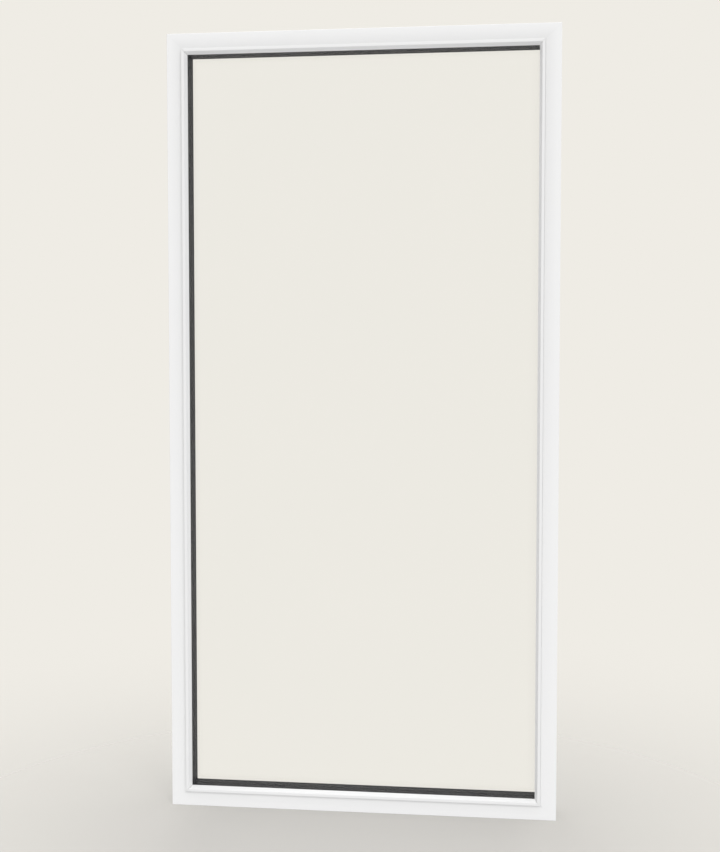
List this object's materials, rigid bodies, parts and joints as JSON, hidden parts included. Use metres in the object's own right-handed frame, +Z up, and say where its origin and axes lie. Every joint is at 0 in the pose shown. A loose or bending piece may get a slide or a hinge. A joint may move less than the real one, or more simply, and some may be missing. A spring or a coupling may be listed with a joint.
{
  "type": "fixed picture window",
  "caption": "Tall fixed picture window: a white mitred PVC-U frame with raised glazing beads around a sealed insulating glass unit with black spacers.",
  "frame": {"origin": "underside of the sill, at the middle of the width and of the depth over the beads", "axes": "+Z up, -Y out of the beaded front, +X to the right seen from the front"},
  "size_m": [0.9144, 0.093, 1.8288],
  "materials": {
    "white_pvc": "satin",
    "white_bead": "satin",
    "pale_seal": "matte",
    "black_rubber": "matte",
    "clear_glass": "polished",
    "black_spacer": "matte",
    "block_plastic": "matte"
  },
  "bodies": {
    "root": {"frame_sill": "white_pvc", "frame_right_jamb": "white_pvc", "frame_head": "white_pvc", "frame_left_jamb": "white_pvc", "bead_sill": "white_bead", "bead_right_jamb": "white_bead", "bead_head": "white_bead", "bead_left_jamb": "white_bead", "bead_seal_sill": "pale_seal", "bead_seal_right_jamb": "pale_seal", "bead_seal_head": "pale_seal", "bead_seal_left_jamb": "pale_seal", "rear_gasket_sill": "black_rubber", "rear_gasket_right_jamb": "black_rubber", "rear_gasket_head": "black_rubber", "rear_gasket_left_jamb": "black_rubber", "front_pane": "clear_glass", "middle_pane": "clear_glass", "rear_pane": "clear_glass", "front_spacer_sill": "black_spacer", "front_spacer_right_jamb": "black_spacer", "front_spacer_head": "black_spacer", "front_spacer_left_jamb": "black_spacer", "rear_spacer_sill": "black_spacer", "rear_spacer_right_jamb": "black_spacer", "rear_spacer_head": "black_spacer", "rear_spacer_left_jamb": "black_spacer", "setting_block_left": "block_plastic", "setting_block_right": "block_plastic"}
  },
  "joints": []
}
